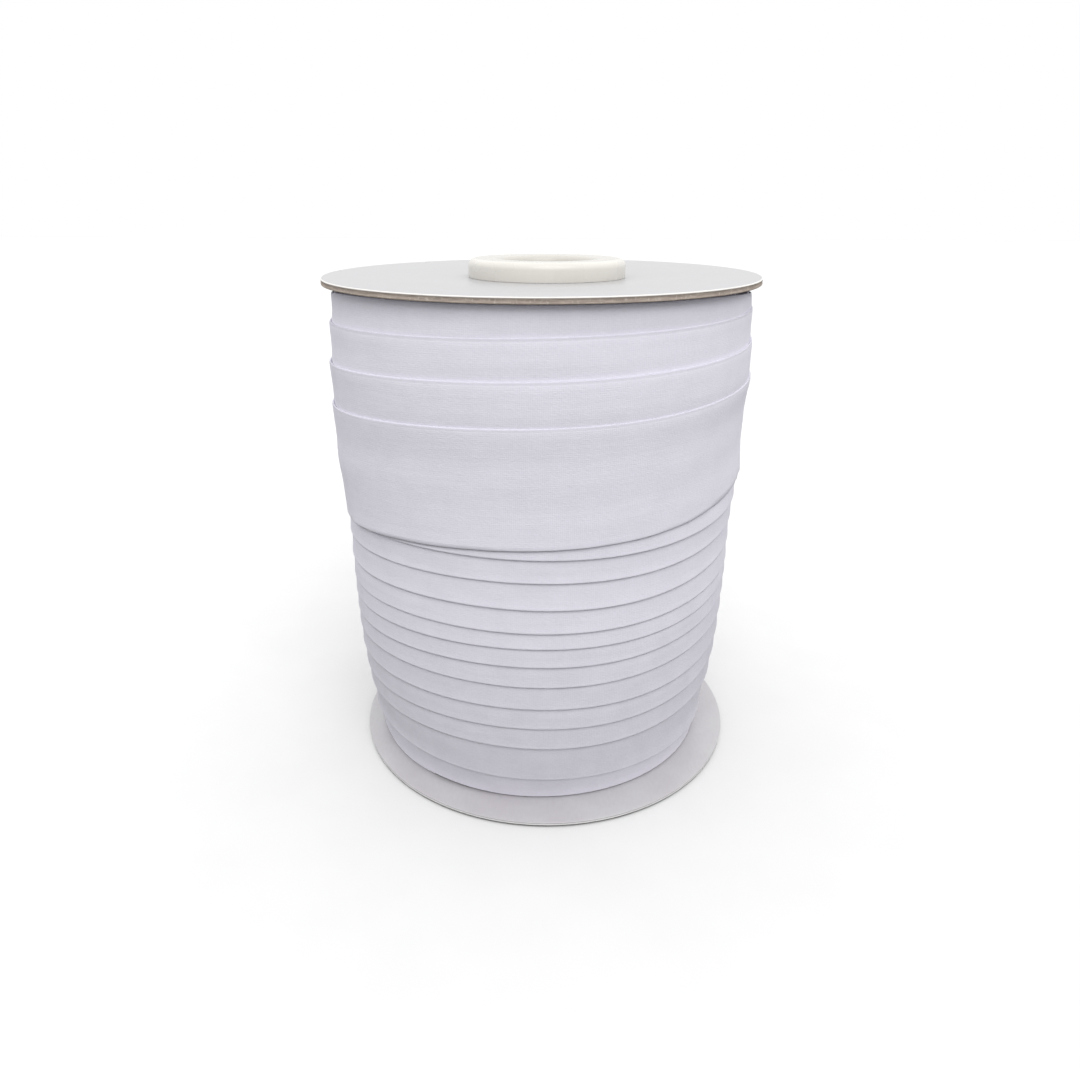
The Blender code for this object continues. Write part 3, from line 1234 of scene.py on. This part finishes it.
@dataclass
class Studio:
    """A plain pale floor, soft light and the photograph's camera."""

    floor_size: float = 4.0
    floor_steps: int = 4
    sky_level: float = 1.0
    sky_front: float = 0.80
    front_band: Pair = (-0.4, 0.3)
    sky_over: float = 1.32
    over_band: Pair = (0.205, 0.6)
    sky_under: float = 0.05
    under_band: Pair = (0.045, 0.09)
    overhead_from: Triple = (0.20, -0.9, 1.05)
    overhead_power: float = 1.2
    overhead_spread: float = math.radians(50)
    eye: Triple = (0.00104, -0.23255, 0.15808)
    lens: float = 26.67
    sensor: float = 36.0
    nearest: float = 0.01
    pitch: float = 0.39578
    yaw: float = 0.00809
    roll: float = 0.00358

    def floor(self) -> None:
        """Lays the floor, which throws no light back on the reel."""
        shape = bmesh.new()
        steps = self.floor_steps
        bmesh.ops.create_grid(shape, x_segments=steps, y_segments=steps, size=self.floor_size)
        laid = object_from(shape, "floor", StudioFloor().material("floor_paint"))
        laid.visible_diffuse = False

    def overhead(self) -> None:
        """Hangs a very wide soft light over the reel, a little to the front and the right."""
        light = bpy.data.lights.new("overhead_light", "SUN")
        light.energy, light.angle = self.overhead_power, self.overhead_spread
        hung = placed("overhead_light", light)
        hung.rotation_euler = (-Vector(self.overhead_from)).to_track_quat("-Z", "Y").to_euler()

    def surround(self) -> None:
        """Surrounds the scene with white, brighter overhead and dimmer in front and underfoot.

        The camera itself sees it evenly white.
        """
        g = Graph(bpy.data.worlds.new("white_surround"), "Background")
        _, back, rise = g.parts(g.node("ShaderNodeTexCoord", {}, {}, "Generated"))
        level = self.sky_front + back.between(*self.front_band) * (self.sky_level - self.sky_front)
        over = rise.between(*self.over_band)
        under = (rise * -1.0).between(*self.under_band)
        above = level * (1.0 - over) + over * self.sky_over
        light = above * (1.0 - under) + under * self.sky_under
        seen = g.node("ShaderNodeLightPath", {}, {}, "Is Camera Ray")
        strength = light * (1.0 - seen) + seen * self.sky_level
        bpy.context.scene.world = g.finish(Color=(1.0, 1.0, 1.0, 1.0), Strength=strength)

    def camera(self) -> None:
        """Sets up the photograph's camera."""
        camera = bpy.data.cameras.new("photo_camera")
        camera.lens, camera.sensor_width, camera.clip_start = self.lens, self.sensor, self.nearest
        level = math.cos(self.pitch)
        ahead = math.cos(self.yaw) * level
        aim = Vector((-math.sin(self.yaw) * level, ahead, -math.sin(self.pitch)))
        aimed = aim.to_track_quat("-Z", "Y").to_matrix().to_4x4()
        rolled = Matrix.Rotation(self.roll, 4, "Z")
        seen = placed("photo_camera", camera)
        seen.matrix_world = Matrix.Translation(self.eye) @ (aimed @ rolled)
        bpy.context.scene.camera = seen

    def build(self) -> None:
        """Sets up the whole studio."""
        bpy.context.scene.view_settings.view_transform = "Standard"
        self.floor()
        self.surround()
        self.overhead()
        self.camera()


def bottom_board() -> Board:
    """Sizes up the bottom board.

    Returns:
        A board with painted light on its liner and pale edge, painted shade on its lower corner.
    """
    # Painted light: the top board's liner, recoloured lighter for the bottom board.
    painted_light_liner = LinedBoard((0.472, 0.467, 0.479), (0.440, 0.421, 0.443))
    return Board(
        name="bottom",
        centre=(1.04 * MM, -0.9 * MM, 0.8 * MM),
        hole=12.5 * MM,
        radius=58.8 * MM,
        foot_corner=0.85 * MM,
        face=painted_light_liner,
        lip=painted_light_liner,
        # Painted light: a pale cut edge, lighter than the top board's pulp.
        edge=CutBoard((0.76, 0.755, 0.75), (0.68, 0.675, 0.67), (0.80, 0.795, 0.79)),
        # Painted shade: a dark lower corner along the foot of the edge.
        foot=CutBoard((0.30, 0.297, 0.293), (0.24, 0.237, 0.233), (0.34, 0.336, 0.332)),
    )


def top_board() -> Board:
    """Sizes up the top board.

    Returns:
        A board dished by the collar and tilted, up behind and on the right.
    """
    return Board(
        name="top",
        centre=(-0.69 * MM, 0.0, 140.1 * MM),
        hole=16.3 * MM,
        radius=59.35 * MM,
        dish_depth=0.9 * MM,
        tilt=(0.0061, 0.0037),
    )


def main() -> None:
    """Builds the studio and the reel piece by piece, and notes each piece's face count."""
    logging.basicConfig(level=logging.INFO, format="%(name)s: %(message)s")
    Studio().build()
    pieces = [bottom_board().build(), top_board().build(), Core().build(), *WoundTape().build()]
    for piece in pieces:
        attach(piece, "root")
        LOG.info("%s has %d faces", piece.name, len(piece.data.polygons))


if __name__ == "__main__":
    main()
